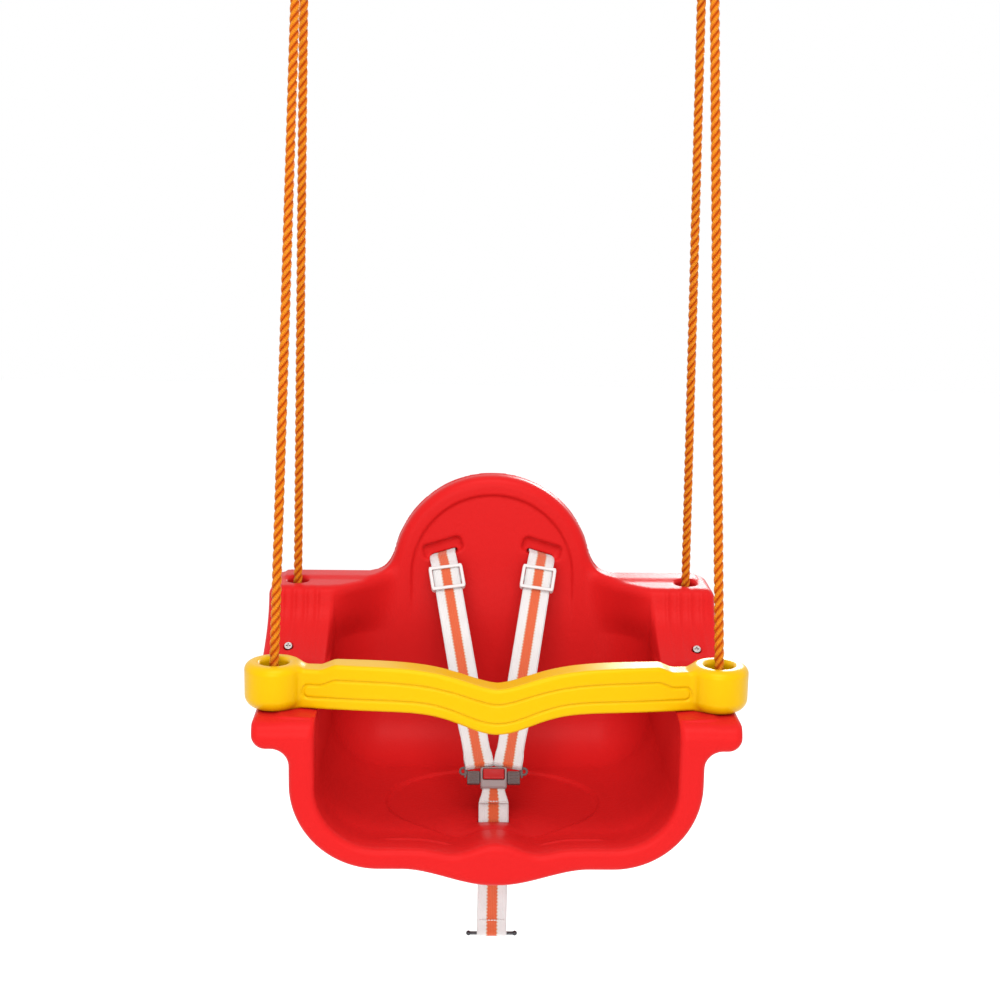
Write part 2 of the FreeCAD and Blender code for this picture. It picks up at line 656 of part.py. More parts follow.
def main():
    os.makedirs("parts", exist_ok=True)
    save(seat_shell(), "seat_shell")
    save(guard_bar(), "guard_bar")
    for side, name in ((1, "right"), (-1, "left")):
        def place(shape):
            return shape if side > 0 else mirrored(shape)
        save(place(ring()), "ring_" + name)
        save(place(thimble()), "thimble_" + name)
        save(place(rope()), "rope_" + name)
        save(Part.makeCompound([place(k) for k in knots()]), "knots_" + name)
        save(shoulder_strap(side), "shoulder_strap_" + name)
        save(strap_end(side), "strap_end_" + name)
        save(strap_stop(side), "strap_stop_" + name)
        save(adjuster(side), "adjuster_" + name)
        save(tongue(side), "tongue_" + name)
    right_washers = washers()
    save(Part.makeCompound(right_washers + [mirrored(w) for w in right_washers]), "rope_washers")
    save(Part.makeCompound([column_screw(), mirrored(column_screw())]), "column_screws")
    front, back = buckle_halves()
    save(front, "buckle_front")
    save(back, "buckle_back")
    save(buckle_button(), "buckle_button")
    save(buckle_spring(), "buckle_spring")
    save(crotch_strap(), "crotch_strap")
    save(crotch_stop(), "crotch_stop")


main()
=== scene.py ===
import bpy
import math
import numpy as np
import openvdb
from mathutils import Matrix, Vector


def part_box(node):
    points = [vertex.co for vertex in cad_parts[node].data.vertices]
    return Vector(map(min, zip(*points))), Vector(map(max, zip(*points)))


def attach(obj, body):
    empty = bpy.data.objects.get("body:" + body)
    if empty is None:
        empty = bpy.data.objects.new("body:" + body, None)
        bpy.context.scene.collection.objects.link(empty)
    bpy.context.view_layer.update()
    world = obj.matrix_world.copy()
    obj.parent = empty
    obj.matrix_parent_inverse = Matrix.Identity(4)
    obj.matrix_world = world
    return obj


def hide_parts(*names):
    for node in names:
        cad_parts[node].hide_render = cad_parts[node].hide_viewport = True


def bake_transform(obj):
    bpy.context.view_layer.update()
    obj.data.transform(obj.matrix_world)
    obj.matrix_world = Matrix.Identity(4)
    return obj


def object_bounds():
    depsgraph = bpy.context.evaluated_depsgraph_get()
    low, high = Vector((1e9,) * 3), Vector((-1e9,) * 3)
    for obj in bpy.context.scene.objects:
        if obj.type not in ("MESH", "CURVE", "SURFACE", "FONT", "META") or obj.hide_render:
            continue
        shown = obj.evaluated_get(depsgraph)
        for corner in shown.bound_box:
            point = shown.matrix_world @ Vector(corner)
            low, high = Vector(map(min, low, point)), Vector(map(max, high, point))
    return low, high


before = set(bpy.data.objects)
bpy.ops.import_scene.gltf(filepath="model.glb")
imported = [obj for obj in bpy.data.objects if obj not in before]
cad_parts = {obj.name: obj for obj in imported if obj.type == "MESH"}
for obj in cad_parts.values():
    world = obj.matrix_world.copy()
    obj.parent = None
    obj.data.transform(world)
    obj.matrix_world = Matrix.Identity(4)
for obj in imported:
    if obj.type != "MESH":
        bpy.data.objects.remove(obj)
cad_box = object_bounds()

# The pieces are shaped in millimetres in the seat's own frame. Its origin is midway between the two front
# rope holes, level with the top of the guard bar's eyelets, with -Y to the front. Two CAD faces place it.
FRONT_Y = -45.0                                   # front rim of the seat
DOME_TOP = 117.0                                  # top of the backrest
shell_low, shell_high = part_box("seat_shell")
ORIGIN = np.array([0.0, shell_low.y * 1000 - FRONT_Y, shell_high.z * 1000 - DOME_TOP])

SIDES = ((1, "right"), (-1, "left"))

# Seat shell
TUB_HALF_W = 175.0
WALL = 22.0
CORNER_R = 75.0
TUB_BOTTOM = -171.0
POMMEL_DROP = 14.5
FLOOR_Z = -158.0
ARM_TOP = -39.8
ARM_LOW = -64.3
ARM_HALF_W = 206.0
ARM_INNER_X = 140.0
ARM_BACK_Y = 238.0
ARM_FILLET_R = 15.0                               # between the tub's side and the armrest's underside
ARM_FRONT_R = 15.0                                # rounding of its top front edge
SHOULDER_Z = 18.0
BACK_IN_Y = 214.0
BACK_T = 22.0
LEAN = 0.06
DOME_R = 98.0
DOME_CENTRE_Z = 19.0
COLUMN_HALF_W = 215.0
COLUMN_FRONT_Y = 178.0
COLUMN_SWEEP = 70.0                               # how far its front has come forward at the armrest
RIB_PITCH = 11.0
RIB_MIDDLE_X = 190.0
SCREW_PLACE = (192.0, 140.0, -31.5)
SCREW_OUT = (0.0, -0.7507, 0.6606)
SCREW_RECESS_R = 4.4

# Ropes and their holes
ROPE_BORE_R = 5.6
COUNTERBORE_R = 13.0                              # for the knots, from below
COUNTERBORE_DEPTH = 15.0
MOUTH_R = 10.0                                    # the wider top of each rear hole
MOUTH_LOW_Z = -12.0

# Harness
STRAP_W = 26.0
STRAP_T = 1.6
BUCKLE = np.array([0.0, 60.0, -128.0])
BUCKLE_LEAN = math.radians(32.0)
BUCKLE_HALF = (12.0, 10.0, 5.5)
SLOT_X = 49.0
SLOT_Z = 46.0
SLOT_TILT = math.radians(17.0)
SLOT_DROP = 7.2                                   # the slot is this far below the middle of its recess
STRAP_SAG = 2.2
STRAP_BEND = (60.0, 24.0)                         # two distances from a tongue along its strap; points at these distances are worked out but not used
ADJUSTER_DOWN = 30.0                              # from the backrest slot, along the strap
CROTCH_Y = 40.0
CROTCH_NARROW_W = 20.5                            # the crotch strap's width in the buckle


# ---------------------------------------------------------------- camera, lights and stage

SENSOR_MM = 36.0
LENS_MM = 58.356
CAMERA_DISTANCE = 1.384
CAMERA_AZIMUTH = -1.8
CAMERA_ELEVATION = 11.7
CAMERA_ROLL = 1.0
AIM_ABOVE = 0.1388
AIM_RIGHT = 0.0020


def row(points):
    """Millimetres in the seat's frame to metres in the row frame."""
    return (np.asarray(points, float) + ORIGIN) / 1000.0


def make_camera():
    azimuth, elevation, roll = (math.radians(a) for a in (CAMERA_AZIMUTH, CAMERA_ELEVATION, CAMERA_ROLL))
    back = Vector((math.sin(azimuth) * math.cos(elevation),
                   -math.cos(azimuth) * math.cos(elevation),
                   math.sin(elevation)))
    level = Vector((math.cos(azimuth), math.sin(azimuth), 0.0))
    upright = back.cross(level)
    right = level * math.cos(roll) + upright * math.sin(roll)
    up = upright * math.cos(roll) - level * math.sin(roll)
    data = bpy.data.cameras.new("camera")
    data.sensor_width = SENSOR_MM
    data.lens = LENS_MM
    data.clip_end = 50.0
    camera = bpy.data.objects.new("camera", data)
    place = Vector(row([0, 0, 0])) + up * AIM_ABOVE + right * AIM_RIGHT + back * CAMERA_DISTANCE
    turn = Matrix((right, up, back)).transposed().to_4x4()
    camera.matrix_world = Matrix.Translation(place) @ turn
    bpy.context.scene.collection.objects.link(camera)
    bpy.context.scene.camera = camera


make_camera()


# ---------------------------------------------------------------- shaping tools

def smooth_min(a, b, k):
    h = np.clip(0.5 + 0.5 * (b - a) / k, 0.0, 1.0)
    return b + (a - b) * h - k * h * (1.0 - h)


def smooth_max(a, b, k):
    return -smooth_min(-a, -b, k)


def fillet_union(a, b, radius):
    """Joins two shapes with a concave fillet of the given radius."""
    near_a = np.maximum(radius - a, 0.0)
    near_b = np.maximum(radius - b, 0.0)
    return np.maximum(radius, np.minimum(a, b)) - np.sqrt(near_a ** 2 + near_b ** 2)


def ease(value, start, end):
    t = np.clip((value - start) / (end - start), 0.0, 1.0)
    return t * t * (3.0 - 2.0 * t)


def block(faces, radius):
    """Distance to a block with round edges, from the distances past each of its faces."""
    outside = sum(np.maximum(f + radius, 0.0) ** 2 for f in faces) ** 0.5
    inside = faces[0] + radius
    for f in faces[1:]:
        inside = np.maximum(inside, f + radius)
    return outside + np.minimum(inside, 0.0) - radius


def centred_block(x, y, z, half, radius):
    return block([abs(x) - half[0], abs(y) - half[1], abs(z) - half[2]], radius)


def mesh_piece(name, points, faces, material, smooth=True):
    mesh = bpy.data.meshes.new(name)
    mesh.from_pydata([], [], [])
    mesh.vertices.add(len(points))
    mesh.vertices.foreach_set("co", np.asarray(points, np.float32).ravel())
    sides = faces.shape[1]
    mesh.loops.add(faces.size)
    mesh.loops.foreach_set("vertex_index", faces.ravel().astype(np.int32))
    mesh.polygons.add(len(faces))
    mesh.polygons.foreach_set("loop_start", np.arange(0, faces.size, sides, dtype=np.int32))
    mesh.polygons.foreach_set("loop_total", np.full(len(faces), sides, np.int32))
    mesh.polygons.foreach_set("use_smooth", np.full(len(faces), smooth))
    mesh.update(calc_edges=True)
    mesh.validate()
    mesh.materials.append(material)
    piece = bpy.data.objects.new(name, mesh)
    bpy.context.scene.collection.objects.link(piece)
    return piece


def sculpt(name, distance, low, high, cell, material, to_row=row):
    """A closed mesh of the surface where distance(x, y, z), in millimetres, is zero."""
    low, high = np.asarray(low, float), np.asarray(high, float)
    counts = np.ceil((high - low) / cell).astype(int) + 1
    axes = [(low[i] + cell * np.arange(counts[i])).astype(np.float32) for i in range(3)]
    x, y, z = np.meshgrid(*axes, indexing="ij", sparse=True)
    values = np.ascontiguousarray(np.broadcast_to(distance(x, y, z), counts), dtype=np.float32)
    grid = openvdb.FloatGrid(background=3.0)
    grid.copyFromArray(np.clip(values / cell, -3.0, 3.0))
    points, faces = grid.convertToQuads(isovalue=0.0)
    points = low + np.asarray(points, float) * cell
    step = 0.2 * cell
    for _ in range(3):                            # the grid's points are moved onto the true surface
        here = distance(*points.T)
        rises = [distance(*(points + s).T) - distance(*(points - s).T) for s in step * np.eye(3)]
        slope = np.stack(rises, axis=1) / (2 * step)
        steep = np.maximum((slope ** 2).sum(1), 0.2)
        move = -(here / steep)[:, None] * slope
        reach = np.linalg.norm(move, axis=1, keepdims=True)
        points = points + move * np.minimum(1.0, 0.5 * cell / np.maximum(reach, 1e-9))
    return mesh_piece(name, to_row(points), np.asarray(faces)[:, ::-1], material)


# ---------------------------------------------------------------- materials

def new_material(name):
    material = bpy.data.materials.new(name)
    material.use_nodes = True
    nodes = material.node_tree.nodes
    return material, material.node_tree, nodes["Principled BSDF"]


def node(tree, kind, values=None, **settings):
    made = tree.nodes.new(kind)
    for key, value in settings.items():
        setattr(made, key, value)
    for key, value in (values or {}).items():
        made.inputs[key].default_value = value
    return made


def link(tree, source, target):
    tree.links.new(source, target)


def math_node(tree, operation, a, b=None, c=None):
    made = tree.nodes.new("ShaderNodeMath")
    made.operation = operation
    for index, value in enumerate((a, b, c)):
        if value is None:
            continue
        if isinstance(value, (int, float)):
            made.inputs[index].default_value = value
        else:
            link(tree, value, made.inputs[index])
    return made.outputs[0]


def mix_colour(tree, factor, first, second):
    made = node(tree, "ShaderNodeMix", data_type="RGBA")
    for socket, value in ((made.inputs[0], factor), (made.inputs[6], first), (made.inputs[7], second)):
        if isinstance(value, (int, float)):
            socket.default_value = value
        elif isinstance(value, tuple):
            socket.default_value = (*value, 1.0)
        else:
            link(tree, value, socket)
    return made.outputs[2]


def noise(tree, scale, detail=3.0, roughness=0.5):
    made = node(tree, "ShaderNodeTexNoise", {"Scale": scale, "Detail": detail, "Roughness": roughness})
    place = node(tree, "ShaderNodeTexCoord").outputs["Object"]
    link(tree, place, made.inputs["Vector"])
    return made.outputs["Fac"]


def add_bump(tree, shader, height, distance):
    made = node(tree, "ShaderNodeBump", {"Distance": distance, "Strength": 1.0})
    link(tree, height, made.inputs["Height"])
    link(tree, made.outputs["Normal"], shader.inputs["Normal"])


def moulded_plastic(name, dark, light, roughness, grain=900.0, grain_depth=0.00012, gloss=0.25, tint=None):
    """Polyethylene with a fine grained skin: faint mottling, and roughness that wanders."""
    material, tree, shader = new_material(name)
    broad = noise(tree, 9.0, 2.0)
    fine = noise(tree, grain, 4.0, 0.6)
    pits = noise(tree, grain * 0.28, 2.0)
    link(tree, mix_colour(tree, broad, dark, light), shader.inputs["Base Color"])
    spread = math_node(tree, "MULTIPLY_ADD", fine, 0.12, roughness - 0.06)
    link(tree, math_node(tree, "MULTIPLY_ADD", broad, 0.06, spread), shader.inputs["Roughness"])
    height = math_node(tree, "ADD", fine, math_node(tree, "MULTIPLY", pits, 1.5))
    add_bump(tree, shader, height, grain_depth)
    shader.inputs["Specular IOR Level"].default_value = gloss
    if tint:
        shader.inputs["Specular Tint"].default_value = (*tint, 1.0)
    return material


def plain_metal(name, colour, roughness):
    material, tree, shader = new_material(name)
    fine = noise(tree, 600.0, 4.0, 0.6)
    broad = noise(tree, 40.0, 2.0)
    darker = tuple(0.72 * c for c in colour)
    link(tree, mix_colour(tree, broad, darker, colour), shader.inputs["Base Color"])
    link(tree, math_node(tree, "MULTIPLY_ADD", fine, 0.2, roughness - 0.1), shader.inputs["Roughness"])
    shader.inputs["Metallic"].default_value = 1.0
    add_bump(tree, shader, fine, 0.00003)
    return material


def uv_parts(tree):
    coordinates = node(tree, "ShaderNodeTexCoord")
    split = node(tree, "ShaderNodeSeparateXYZ")
    link(tree, coordinates.outputs["UV"], split.inputs[0])
    return split.outputs[0], split.outputs[1]


def waves(tree, value, per_unit, offset=0.0):
    """A wave from 0 to 1 that repeats per_unit times in one unit of value."""
    turned = math_node(tree, "MULTIPLY_ADD", value, per_unit * 2 * math.pi, offset)
    return math_node(tree, "MULTIPLY_ADD", math_node(tree, "SINE", turned), 0.5, 0.5)


STRIPE_HALF = 0.150                               # half the middle stripe, in strap widths
SCALLOP = 0.026                                   # how far the threads make its edge wander


def webbing_material():
    """White webbing with an orange middle stripe.

    U runs across the strap from 0 to 1, and V along it in strap widths.
    """
    material, tree, shader = new_material("webbing")
    u, v = uv_parts(tree)
    from_middle = math_node(tree, "ABSOLUTE", math_node(tree, "SUBTRACT", u, 0.5))
    scallop = math_node(tree, "MULTIPLY", waves(tree, v, 8.0), SCALLOP)
    inside = math_node(tree, "SUBTRACT", math_node(tree, "ADD", STRIPE_HALF, scallop), from_middle)
    stripe = math_node(tree, "SMOOTH_MIN", 1.0, math_node(tree, "MULTIPLY", inside, 160.0), 0.1)
    stripe = math_node(tree, "MAXIMUM", stripe, 0.0)
    border = math_node(tree, "COMPARE", inside, -0.012, 0.013)
    warp = waves(tree, u, 17.0)
    weft = waves(tree, v, 22.0)
    thread = math_node(tree, "MULTIPLY", warp, weft)
    dirt = noise(tree, 60.0, 3.0)
    white = mix_colour(tree, dirt, (0.52, 0.49, 0.485), (0.62, 0.60, 0.595))
    shaded = mix_colour(tree, math_node(tree, "MULTIPLY", thread, 0.45), white, (0.58, 0.565, 0.56))
    cream = mix_colour(tree, border, shaded, (0.54, 0.34, 0.22))
    orange = mix_colour(tree, thread, (0.50, 0.062, 0.008), (0.59, 0.100, 0.018))
    link(tree, mix_colour(tree, stripe, cream, orange), shader.inputs["Base Color"])
    shader.inputs["Roughness"].default_value = 0.75
    shader.inputs["Sheen Weight"].default_value = 0.25
    height = math_node(tree, "ADD", thread, math_node(tree, "MULTIPLY", border, 0.8))
    add_bump(tree, shader, height, 0.00035)
    return material


YARN_TURNS = 45.0                                 # of a yarn round its strand, in a metre
YARNS = 9.0
FIBRES = 31.0


def rope_material():
    """Polypropylene strands: U runs round a strand from 0 to 1, and V along it in metres."""
    material, tree, shader = new_material("rope_orange")
    u, v = uv_parts(tree)
    turned = math_node(tree, "SUBTRACT", u, math_node(tree, "MULTIPLY", v, YARN_TURNS))
    yarns = waves(tree, turned, YARNS)
    fibres = waves(tree, turned, FIBRES)
    tint = noise(tree, 420.0, 3.0, 0.7)
    # painted light: the colour runs from a painted highlight on each strand's outward crest to painted shade
    # in the grooves where the strands meet, laid over the yarn stripes and random tint
    painted_crest_light = math_node(tree, "POWER", waves(tree, u, 1.0, math.pi / 2), 3.0)
    mixed = math_node(tree, "MULTIPLY_ADD", yarns, 0.5, math_node(tree, "MULTIPLY", tint, 0.4))
    mixed = math_node(tree, "MULTIPLY", mixed, math_node(tree, "MULTIPLY_ADD", painted_crest_light, 1.7, 0.05))
    colour = mix_colour(tree, mixed, (0.54, 0.020, 0.0006), (0.86, 0.33, 0.016))
    link(tree, colour, shader.inputs["Base Color"])
    shader.inputs["Specular Tint"].default_value = (1.0, 0.7, 0.2, 1.0)
    shader.inputs["Roughness"].default_value = 0.36
    shader.inputs["Specular IOR Level"].default_value = 0.3
    height = math_node(tree, "MULTIPLY_ADD", fibres, 0.4, yarns)
    add_bump(tree, shader, height, 0.0006)
    return material


RED = moulded_plastic("shell_red", (0.475, 0.0085, 0.009), (0.505, 0.0105, 0.0105), 0.34,
                      gloss=0.15, tint=(1.0, 0.35, 0.35))
YELLOW = moulded_plastic("bar_yellow", (0.565, 0.318, 0.0003), (0.585, 0.333, 0.0005), 0.28, 700.0, 0.00005,
                         gloss=0.35, tint=(1.0, 0.8, 0.15))
ROPE = rope_material()
WEBBING = webbing_material()
WHITE_PLASTIC = moulded_plastic("adjuster_white", (0.52, 0.49, 0.485), (0.57, 0.545, 0.54),
                                0.30, 1500.0, 0.00003)
GREY_PLASTIC = moulded_plastic("buckle_grey", (0.22, 0.175, 0.175), (0.29, 0.235, 0.235),
                               0.36, 2500.0, 0.00006)
DARK_PLASTIC = moulded_plastic("tongue_grey", (0.085, 0.062, 0.060), (0.13, 0.095, 0.092),
                               0.40, 2500.0, 0.00006)
BUTTON_RED = moulded_plastic("button_red", (0.34, 0.008, 0.010), (0.39, 0.011, 0.012), 0.30, 2500.0, 0.00003)
NYLON = moulded_plastic("thimble_plastic", (0.66, 0.65, 0.60), (0.76, 0.75, 0.71), 0.45, 1200.0, 0.00005)
ZINC = plain_metal("zinc_steel", (0.70, 0.71, 0.72), 0.30)
SCREW_STEEL = plain_metal("screw_steel", (0.26, 0.23, 0.22), 0.36)
DARK_STEEL = plain_metal("dark_steel", (0.07, 0.07, 0.075), 0.38)
SPRING_STEEL = plain_metal("spring_steel", (0.50, 0.50, 0.52), 0.30)


# ---------------------------------------------------------------- ropes

def mirror_x(points):
    return np.asarray(points, float) * np.array([-1.0, 1.0, 1.0])


# The right-hand rope's route, in metres in the seat's frame: its feet, the corners of its turn over the
# thimble, and a point on each long straight run just below that turn.
ROPE_ROUTE = [
    (0.1913, -0.0087, -0.0513),
    (0.1732, 0.1102, 0.6710),
    (0.1720, 0.1180, 0.7186),
    (0.1720, 0.1552, 0.7186),
    (0.1732, 0.1586, 0.6710),
    (0.1907, 0.2100, -0.0513)]


def smooth_line(name, points):
    """Points along the NURBS line that the given points control."""
    data = bpy.data.curves.new(name, "CURVE")
    data.dimensions = "3D"
    data.resolution_u = 64
    line = data.splines.new("NURBS")
    line.points.add(len(points) - 1)
    for control, point in zip(line.points, points):
        control.co = (*point, 1.0)
    line.order_u = 3
    line.use_endpoint_u = True
    guide = bpy.data.objects.new(name, data)
    bpy.context.scene.collection.objects.link(guide)
    mesh = bpy.data.meshes.new_from_object(guide)
    found = np.array([v.co for v in mesh.vertices])
    bpy.data.objects.remove(guide)
    bpy.data.meshes.remove(mesh)
    return found


def resample(points, spacing):
    steps = np.linalg.norm(np.diff(points, axis=0), axis=1)
    along = np.concatenate([[0.0], np.cumsum(steps)])
    count = int(round(along[-1] / spacing)) + 1
    wanted = np.linspace(0.0, along[-1], count)
    return np.stack([np.interp(wanted, along, points[:, i]) for i in range(3)], axis=1), wanted


def carried_frames(points):
    """Two directions square to the line at each point, which turn as little as possible along it."""
    tangents = np.gradient(points, axis=0)
    tangents /= np.linalg.norm(tangents, axis=1, keepdims=True)
    first = np.cross(tangents[0], [0.0, 1.0, 0.3])
    first /= np.linalg.norm(first)
    firsts = [first]
    for tangent in tangents[1:]:
        first = firsts[-1] - tangent * np.dot(firsts[-1], tangent)
        firsts.append(first / np.linalg.norm(first))
    firsts = np.array(firsts)
    return firsts, np.cross(tangents, firsts)


LAY_LENGTH = 0.0250                               # one full turn of a strand
STRAND_R = 0.00225
STRAND_ORBIT = 0.00205
STRAND_SIDES = 12
ROW_SPACING = 0.0011


def lay_rope(name, line):
    """Three strands twisted together along a line, each a closed tube."""
    points, along = resample(np.asarray(line), ROW_SPACING)
    firsts, seconds = carried_frames(points)
    round_angles = np.arange(STRAND_SIDES + 1) * 2 * math.pi / STRAND_SIDES
    all_points, all_faces, all_uv = [], [], []
    for strand in range(3):
        phase = 2 * math.pi * along / LAY_LENGTH + strand * 2 * math.pi / 3
        outward = firsts * np.cos(phase)[:, None] + seconds * np.sin(phase)[:, None]
        centre = points + outward * STRAND_ORBIT
        run = np.gradient(centre, axis=0)
        run /= np.linalg.norm(run, axis=1, keepdims=True)
        out = outward - run * (outward * run).sum(1, keepdims=True)
        out /= np.linalg.norm(out, axis=1, keepdims=True)
        side = np.cross(run, out)
        ring = (out[:, None] * np.cos(round_angles[:-1])[None, :, None]
                + side[:, None] * np.sin(round_angles[:-1])[None, :, None])
        tube = centre[:, None] + ring * STRAND_R
        rows = len(points)
        start = sum(len(p) for p in all_points)
        index = start + np.arange(rows * STRAND_SIDES).reshape(rows, STRAND_SIDES)
        here, there = index[:-1], index[1:]
        faces = np.stack([here, np.roll(here, -1, 1), np.roll(there, -1, 1), there], axis=-1).reshape(-1, 4)
        u = np.arange(STRAND_SIDES) / STRAND_SIDES
        corners_u = np.stack([u, u + 1 / STRAND_SIDES, u + 1 / STRAND_SIDES, u], axis=-1)
        corners_u = np.broadcast_to(corners_u, (rows - 1, STRAND_SIDES, 4))
        corners_v = np.stack([along[:-1], along[:-1], along[1:], along[1:]], axis=-1)[:, None]
        corners_v = np.broadcast_to(corners_v, (rows - 1, STRAND_SIDES, 4))
        all_points.append(tube.reshape(-1, 3))
        all_faces.append(faces)
        all_uv.append(np.stack([corners_u, corners_v], axis=-1).reshape(-1, 2))
        caps = [(index[0][::-1], centre[0]), (index[-1], centre[-1])]
        for number, (rim, middle) in enumerate(caps):
            tip = start + rows * STRAND_SIDES + number
            all_points.append(middle[None])
            others = np.roll(rim, -1)
            faces = np.stack([rim, others, np.full_like(rim, tip), np.full_like(rim, tip)], axis=-1)
            all_faces.append(faces)
            all_uv.append(np.zeros((len(faces) * 4, 2)))
    return rope_mesh(name, np.concatenate(all_points), np.concatenate(all_faces), np.concatenate(all_uv))


def rope_mesh(name, points, faces, uv):
    """A mesh of four-sided faces, in which a cap's triangle names its last corner twice."""
    mesh = bpy.data.meshes.new(name)
    loops = []
    for face in faces.tolist():
        loops.append(face[:3] if face[2] == face[3] else face)
    mesh.from_pydata(points.tolist(), [], loops)
    layer = mesh.uv_layers.new(name="UVMap")
    keep = np.ones(len(faces) * 4, bool)
    keep[3::4] = faces[:, 2] != faces[:, 3]
    layer.data.foreach_set("uv", uv[keep].astype(np.float32).ravel())
    mesh.polygons.foreach_set("use_smooth", np.ones(len(loops), bool))
    mesh.materials.append(ROPE)
    piece = bpy.data.objects.new(name, mesh)
    bpy.context.scene.collection.objects.link(piece)
    return piece


KNOT_TURNS = 2.15
KNOT_R = 0.0074
KNOT_TOP = 0.0125                                 # its winding starts this far below the foot
KNOT_RISE = 0.00861                               # and climbs by this much


def barrel_knot(foot, down):
    """A line that winds twice round the rope below its foot and leaves as a short tail."""
    down = down / np.linalg.norm(down)
    first = np.cross(down, [0.0, 1.0, 0.0])
    first /= np.linalg.norm(first)
    second = np.cross(down, first)
    turns = np.linspace(0.0, KNOT_TURNS, 60)
    drop = KNOT_TOP - KNOT_RISE * turns / KNOT_TURNS
    round_it = [first * math.cos(2 * math.pi * t) + second * math.sin(2 * math.pi * t) for t in turns]
    wound = [foot + down * d + KNOT_R * r for d, r in zip(drop, round_it)]
    core = [foot + down * 0.002, foot + down * 0.009, foot + down * 0.015 + first * 0.003]
    return np.array(core + wound[3:])


def make_ropes():
    route = np.array(ROPE_ROUTE) * 1000.0
    for side, name in SIDES:
        points = route if side > 0 else mirror_x(route)
        placed = row(points)
        line = smooth_line("rope_guide", placed)
        rope = lay_rope("rope_strands_" + name, line)
        ends = ((placed[0], placed[1], "front"), (placed[-1], placed[-2], "rear"))
        for foot, before, place in ends:
            knot = lay_rope("knot_" + place + "_" + name, barrel_knot(foot, foot - before))
            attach(knot, "seat")
        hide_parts("knots_" + name)
        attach(rope, "seat")
        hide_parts("rope_" + name)


make_ropes()


# ---------------------------------------------------------------- seat shell

def back_y(z):
    return BACK_IN_Y + LEAN * (z - TUB_BOTTOM)


def seat_distance(x, y, z):
    """The tub with its armrests, columns and backrest, hollowed from above and cut off in front."""
    ax = abs(x)
    yb = y - LEAN * (z - TUB_BOTTOM)
    drop = POMMEL_DROP * (1.0 - ease(ax, 4.0, 80.0)) * (1.0 - 0.8 * ease(y, 20.0, 190.0))
    bucket = block([ax - TUB_HALF_W, yb - BACK_IN_Y - BACK_T, TUB_BOTTOM - drop - z], CORNER_R)
    bucket = smooth_max(bucket, z - ARM_TOP, 5.0)
    arm_outer = block([ax - ARM_HALF_W, ARM_LOW - z], 12.0)
    arm = block([ax - ARM_HALF_W, z - ARM_TOP, y - ARM_BACK_Y], 5.0)
    arm = np.maximum(arm, np.maximum(arm_outer, ARM_INNER_X - ax))
    body = fillet_union(bucket, arm, ARM_FILLET_R)
    body = smooth_min(body, column_distance(ax, y, z), 8.0)
    body = smooth_min(body, plate_distance(ax, yb, z), 8.0)
    above_arm = ease(z, ARM_TOP, ARM_TOP + 5.0)
    back = seat_back(ax, z)
    rounded = block([ax - TUB_HALF_W + WALL, y - back], CORNER_R - WALL)
    wall = rounded + (y - seat_sides(ax, z, back) - rounded) * above_arm
    hollow = block([wall, floor_height(ax, y) - z], CORNER_R - WALL)
    body = smooth_max(body, -hollow, 5.0 + 6.0 * above_arm)
    up_the_edge = np.clip(z - ARM_TOP + ARM_FRONT_R, 0.0, 0.97 * ARM_FRONT_R)
    front = FRONT_Y + ARM_FRONT_R - np.sqrt(ARM_FRONT_R ** 2 - up_the_edge ** 2)
    body = smooth_max(body, front - y, 7.0)
    return cut_holes(body, ax, y, yb, z)


def floor_height(ax, y):
    """The seat pan: a raised lip with two thigh hollows, a pommel between them, and a shallow oval dish."""
    lip = 6.0 * (1.0 - ease(y, -34.0, 12.0))
    hollow = -5.0 * np.exp(-((ax - 35.0) / 18.0) ** 2) * (1.0 - ease(y, 5.0, 50.0))
    pommel = 4.5 * np.exp(-(ax / 24.0) ** 2) * (1.0 - ease(y, 18.0, 40.0))
    away = np.sqrt((ax / 100.0) ** 2 + ((y - 82.0) / 80.0) ** 2)
    dish = -2.6 * (1.0 - ease(away, 0.95, 1.0))
    crease = 1.1 * np.exp(-((y + 17.0) / 2.2) ** 2) * ease(ax, 34.0, 44.0) * (1.0 - ease(ax, 88.0, 100.0))
    return FLOOR_Z + lip + hollow + pommel + dish + crease


def seat_back(ax, z):
    """Front face of the backrest, with the edge of its raised middle panel."""
    from_middle = np.sqrt(ax ** 2 + (z - DOME_CENTRE_Z) ** 2)
    away = np.where(z > DOME_CENTRE_Z, from_middle, ax)
    panel = 2.4 * (1.0 - ease(away, 78.0, 81.0)) * ease(z, -34.0, 30.0)
    return BACK_IN_Y + LEAN * (z - TUB_BOTTOM) + panel


def seat_sides(ax, z, back):
    """Face above the armrests, where the backrest comes forward on each side to the column's ribs."""
    across = 0.5 + 0.5 * np.cos(2 * math.pi * (ax - RIB_MIDDLE_X) / RIB_PITCH)
    ribs = 1.5 * across ** 3 * ease(ax, 163.0, 167.0) * (1.0 - ease(ax, 203.0, 207.0))
    column = column_front(z) - ribs
    radius = CORNER_R - WALL
    into_corner = np.clip(ax - TUB_HALF_W + CORNER_R, 0.0, 0.99 * radius)
    corner = back - radius + np.sqrt(radius ** 2 - into_corner ** 2)
    upper = back + (column - back) * ease(ax, 92.0, 158.0)
    lower = corner + (column - corner) * ease(ax, 151.0, 157.0)
    return upper + (lower - upper) * (1.0 - ease(z, ARM_TOP, SHOULDER_Z))


def column_front(z):
    """The column's front sweeps down and forwards from the shoulder to the armrest."""
    down = np.clip((SHOULDER_Z - z) / (SHOULDER_Z - ARM_TOP), 0.0, 1.0)
    return COLUMN_FRONT_Y - COLUMN_SWEEP * down ** 2.6


def column_distance(ax, y, z):
    """The block that the column's front is cut from."""
    body = block([ax - COLUMN_HALF_W, column_front(z) - 14.0 - y, z - SHOULDER_Z], 10.0)
    return np.maximum(np.maximum(body, 90.0 - ax), np.maximum(ARM_LOW - z, y - 236.0))


